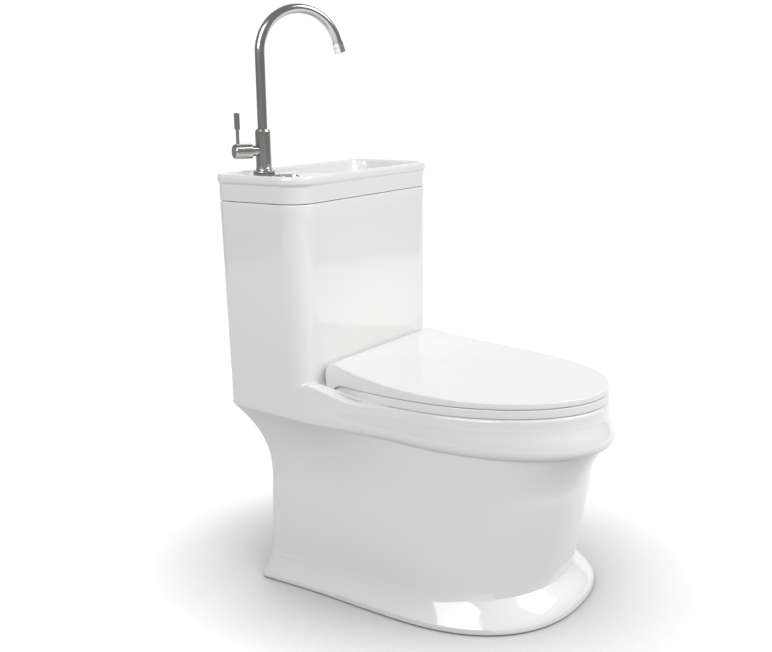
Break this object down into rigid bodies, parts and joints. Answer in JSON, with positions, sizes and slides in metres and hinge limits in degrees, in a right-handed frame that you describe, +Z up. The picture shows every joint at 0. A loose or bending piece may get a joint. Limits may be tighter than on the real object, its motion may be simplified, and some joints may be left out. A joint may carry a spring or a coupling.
{
  "type": "toilet with basin on the cistern",
  "caption": "One-piece floor-standing toilet whose cistern lid is a hand basin with a swan-neck faucet; hinged seat and cover, dual flush button.",
  "frame": {"origin": "centre of the waste outlet on the floor, 300 mm in front of the cistern's back", "axes": "+X to the right of someone facing the toilet, +Y towards the wall, +Z up"},
  "size_m": [0.474, 0.714, 1.1287],
  "materials": {
    "glaze": "gloss",
    "seat_plastic": "gloss",
    "float_plastic": "satin",
    "seal_rubber": "matte",
    "brushed_steel": "brushed",
    "plain_steel": "satin",
    "chrome_trim": "polished",
    "moulded_plastic": "satin",
    "blue_plastic": "satin"
  },
  "bodies": {
    "toilet": {"ceramic_pan_and_cistern": "glaze", "cistern_lid_basin": "glaze", "lid_pads": "seal_rubber", "outlet_seal": "seal_rubber", "hinge_posts": "chrome_trim", "hinge_pins": "plain_steel", "hinge_bolts": "plain_steel", "hinge_plugs": "seal_rubber", "basin_waste": "chrome_trim", "waste_strainer": "chrome_trim", "waste_gasket": "seal_rubber", "waste_nut": "moulded_plastic", "faucet_flange": "brushed_steel", "faucet_gasket": "seal_rubber", "faucet_body": "brushed_steel", "faucet_shank": "plain_steel", "faucet_nut": "plain_steel", "neck_seals": "seal_rubber", "valve_neck": "brushed_steel", "faucet_supply_tube": "moulded_plastic", "supply_nut": "plain_steel", "button_bezel": "chrome_trim", "button_nut": "moulded_plastic", "full_spring": "plain_steel", "half_spring": "plain_steel", "flush_valve_base": "moulded_plastic", "flush_gasket": "seal_rubber", "overflow_tube": "moulded_plastic", "flush_bridge": "moulded_plastic", "fill_valve_column": "moulded_plastic", "fill_valve_cap": "moulded_plastic", "fill_gasket": "seal_rubber", "fill_nut": "moulded_plastic", "refill_tube": "moulded_plastic"},
    "seat": {"seat_ring": "seat_plastic", "seat_buffers": "seal_rubber"},
    "cover": {"seat_cover": "seat_plastic", "cover_buffers": "seal_rubber"},
    "spout": {"swan_neck": "brushed_steel", "aerator_housing": "chrome_trim", "aerator_mesh": "chrome_trim"},
    "lever": {"lever_barrel": "brushed_steel", "lever_rod": "brushed_steel", "lever_grip": "brushed_steel", "valve_stem": "plain_steel"},
    "full_key": {"full_button": "chrome_trim", "full_push_rod": "moulded_plastic"},
    "half_key": {"half_button": "chrome_trim", "half_push_rod": "moulded_plastic"},
    "canister": {"flush_canister": "blue_plastic", "flush_seal": "seal_rubber"},
    "float": {"fill_float": "float_plastic"}
  },
  "joints": [
    {"name": "cover_hinge", "type": "hinge", "parent": "toilet", "child": "cover", "pos_m": [0, 0.075, 0.432], "axis": [-1, 0, 0], "range_deg": [0, 91]},
    {"name": "seat_hinge", "type": "hinge", "parent": "toilet", "child": "seat", "pos_m": [0, 0.075, 0.432], "axis": [-1, 0, 0], "range_deg": [0, 88.5]},
    {"name": "spout_swivel", "type": "hinge", "parent": "toilet", "child": "spout", "pos_m": [-0.14, 0.256, 0.8712], "axis": [0, 0, 1], "continuous": true},
    {"name": "lever_turn", "type": "hinge", "parent": "toilet", "child": "lever", "pos_m": [-0.14, 0.256, 0.8517], "axis": [0.891, -0.454, 0], "range_deg": [0, 90]},
    {"name": "full_press", "type": "slide", "parent": "toilet", "child": "full_key", "axis": [0, 0, -1], "range_m": [0, 0.005], "stiffness_N_per_m": 600, "springref_m": -0.003, "deforming": ["full_spring"]},
    {"name": "half_press", "type": "slide", "parent": "toilet", "child": "half_key", "axis": [0, 0, -1], "range_m": [0, 0.005], "stiffness_N_per_m": 600, "springref_m": -0.003, "deforming": ["half_spring"]},
    {"name": "canister_lift", "type": "slide", "parent": "toilet", "child": "canister", "axis": [0, 0, 1], "range_m": [0, 0.01]},
    {"name": "float_rise", "type": "slide", "parent": "toilet", "child": "float", "axis": [0, 0, 1], "range_m": [0, 0.05]}
  ],
  "couplings": [
    {"joint": "seat_hinge", "follows": "cover_hinge", "ratio": 0.967},
    {"joint": "canister_lift", "follows": "full_press", "ratio": 2}
  ]
}
